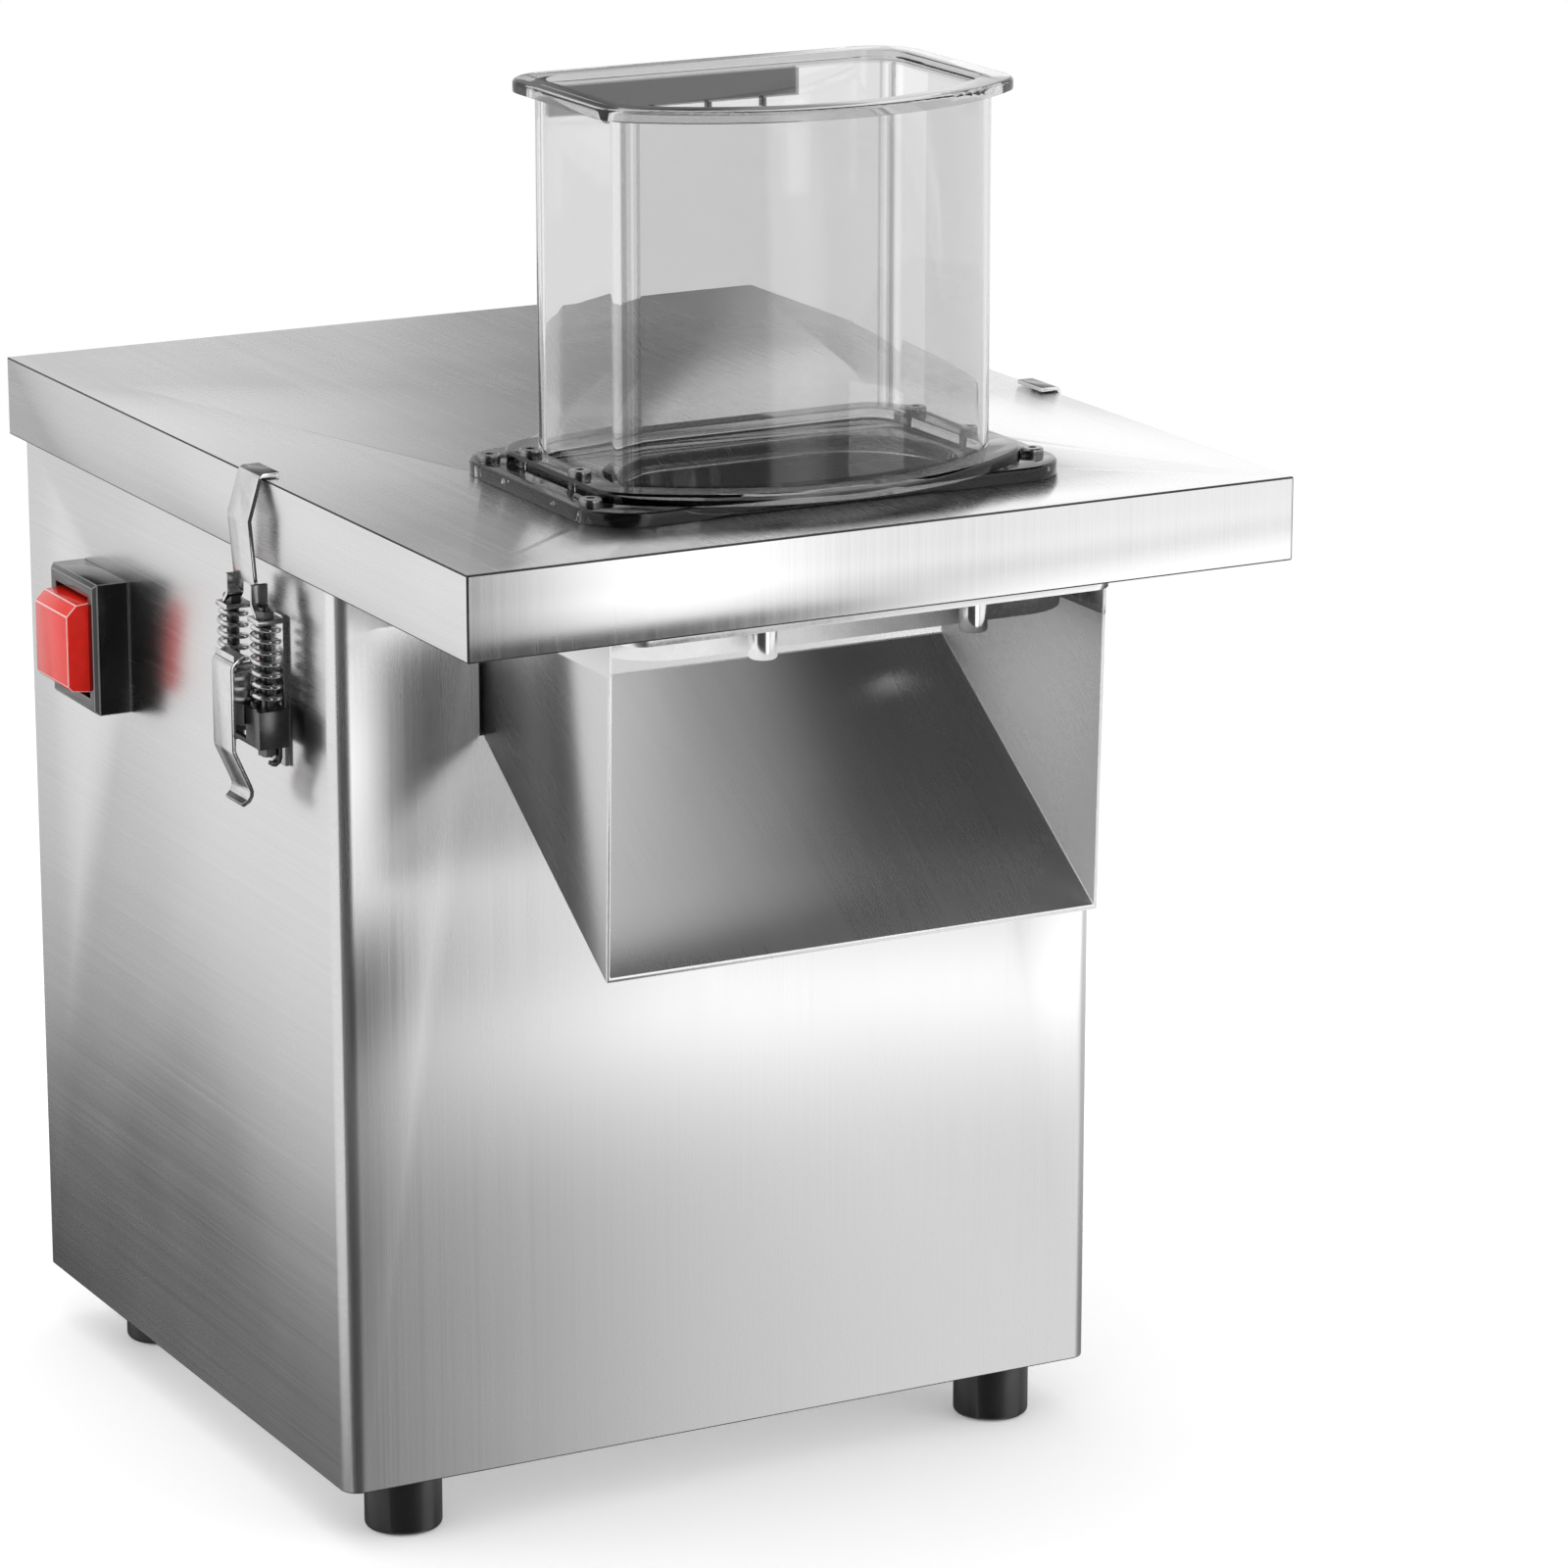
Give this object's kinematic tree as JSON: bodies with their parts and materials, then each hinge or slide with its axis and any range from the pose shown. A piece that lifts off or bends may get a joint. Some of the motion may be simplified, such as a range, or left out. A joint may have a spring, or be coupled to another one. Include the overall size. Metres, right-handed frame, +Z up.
{
  "type": "vegetable cutting machine",
  "caption": "Countertop stainless vegetable dicing machine with clear hopper, latched lift-off lid, disc cutter over a knife grid, sloping discharge chute and red side rocker switch.",
  "frame": {"origin": "on the floor, under the centre of the lid's outline", "axes": "+X to the machine's right seen from the chute side, +Y from the chute towards the rear cover, +Z up"},
  "size_m": [0.3086, 0.3596, 0.4627],
  "materials": {
    "brushed_sheet": "vertical brushed stainless sheet",
    "lid_sheet": "brushed stainless sheet, grain along the lid",
    "chute_sheet": "brushed stainless sheet, grain down the slope",
    "inner_sheet": "plain stainless sheet",
    "bright_steel": "polished steel",
    "knife_steel": "ground blade steel",
    "bearing_steel": "ground bearing steel",
    "latch_steel": "stamped stainless, satin",
    "zinc_fastener": "zinc plated",
    "machined_aluminium": "machined aluminium",
    "cast_housing": "cast, grey paint",
    "motor_casting": "die cast, matt",
    "painted_steel": "dark grey paint",
    "black_rubber": "black moulded rubber",
    "grey_rubber": "soft grey sealing strip",
    "black_plastic": "black moulded plastic",
    "pale_plastic": "pale moulded plastic",
    "red_plastic": "clear red lens plastic",
    "smoky_clear": "clear grey moulded plastic",
    "smoky_dark": "dark clear moulded plastic"
  },
  "bodies": {
    "housing": {"housing_shell": "brushed_sheet", "base_plate": "brushed_sheet", "rubber_feet": "black_rubber", "foot_bolts": "zinc_fastener", "rear_cover": "brushed_sheet", "cover_screws": "zinc_fastener", "power_inlet": "black_plastic", "discharge_chute": "chute_sheet", "deck_pan": "inner_sheet", "lid_gasket": "grey_rubber", "grid_frame": "machined_aluminium", "grid_bolts": "bright_steel", "cross_knives": "knife_steel", "long_knives": "knife_steel", "bearing_housing": "cast_housing", "shaft_bearings": "bearing_steel", "shaft_seal": "black_rubber", "bearing_screws": "zinc_fastener", "drive_belt": "black_rubber", "motor_bracket": "painted_steel", "motor_stator": "motor_casting", "motor_caps": "motor_casting", "fan_cover": "painted_steel", "run_capacitor": "pale_plastic", "capacitor_clip": "zinc_fastener", "switch_housing": "black_plastic", "switch_body": "black_plastic", "switch_guide": "black_plastic", "lid_switch": "black_plastic", "latch_base_left": "latch_steel", "latch_base_right": "latch_steel", "latch_rivets": "bright_steel"},
    "lid": {"lid_tray": "lid_sheet", "hopper": "smoky_clear", "hopper_plate": "smoky_dark", "hopper_screws": "zinc_fastener"},
    "cutter": {"cutter_disc": "bright_steel", "slicing_blade": "knife_steel", "blade_screws": "zinc_fastener", "disc_knob": "black_plastic", "drive_shaft": "bright_steel", "driven_pulley": "machined_aluminium"},
    "motor_rotor": {"motor_shaft": "bright_steel", "motor_pulley": "machined_aluminium", "motor_fan": "black_plastic"},
    "switch_rocker": {"rocker": "red_plastic"},
    "plunger": {"lid_plunger": "pale_plastic"},
    "lever_left": {"latch_lever_left": "latch_steel", "latch_pins_left": "bright_steel"},
    "hook_left": {"latch_hook_left": "latch_steel", "latch_yoke_left": "latch_steel", "latch_rods_left": "bright_steel", "latch_springs_left": "bright_steel"},
    "lever_right": {"latch_lever_right": "latch_steel", "latch_pins_right": "bright_steel"},
    "hook_right": {"latch_hook_right": "latch_steel", "latch_yoke_right": "latch_steel", "latch_rods_right": "bright_steel", "latch_springs_right": "bright_steel"}
  },
  "joints": [
    {"name": "lid_lift", "type": "slide", "parent": "housing", "child": "lid", "axis": [0, 0, 1], "range_m": [0, 0.018]},
    {"name": "cutter_spin", "type": "hinge", "parent": "housing", "child": "cutter", "pos_m": [0, -0.02745, 0.323], "axis": [0, 0, 1], "continuous": true},
    {"name": "motor_spin", "type": "hinge", "parent": "housing", "child": "motor_rotor", "pos_m": [0, 0.09555, 0.137], "axis": [0, 0, 1], "continuous": true},
    {"name": "switch_rock", "type": "hinge", "parent": "housing", "child": "switch_rocker", "pos_m": [-0.137, 0.10955, 0.2595], "axis": [0, 1, 0], "range_deg": [-10, 10]},
    {"name": "lid_switch_press", "type": "slide", "parent": "housing", "child": "plunger", "axis": [0, 0, 1], "range_m": [0, 0.0016]},
    {"name": "lever_flip_left", "type": "hinge", "parent": "housing", "child": "lever_left", "pos_m": [-0.144, -0.02745, 0.276], "axis": [0, 1, 0], "range_deg": [0, 50.2]},
    {"name": "hook_swing_left", "type": "hinge", "parent": "lever_left", "child": "hook_left", "pos_m": [-0.143, -0.02745, 0.264], "axis": [0, -1, 0], "range_deg": [0, 160.4]},
    {"name": "lever_flip_right", "type": "hinge", "parent": "housing", "child": "lever_right", "pos_m": [0.144, -0.02745, 0.276], "axis": [0, -1, 0], "range_deg": [0, 50.2]},
    {"name": "hook_swing_right", "type": "hinge", "parent": "lever_right", "child": "hook_right", "pos_m": [0.143, -0.02745, 0.264], "axis": [0, 1, 0], "range_deg": [0, 160.4]}
  ],
  "couplings": [
    {"joint": "motor_spin", "follows": "cutter_spin", "ratio": 2.076},
    {"joint": "lid_switch_press", "follows": "lid_lift", "ratio": 0.08333},
    {"joint": "lever_flip_left", "follows": "lid_lift", "rad_per_m": 48.481},
    {"joint": "hook_swing_left", "follows": "lid_lift", "rad_per_m": 155.14},
    {"joint": "lever_flip_right", "follows": "lid_lift", "rad_per_m": 48.481},
    {"joint": "hook_swing_right", "follows": "lid_lift", "rad_per_m": 155.14}
  ]
}
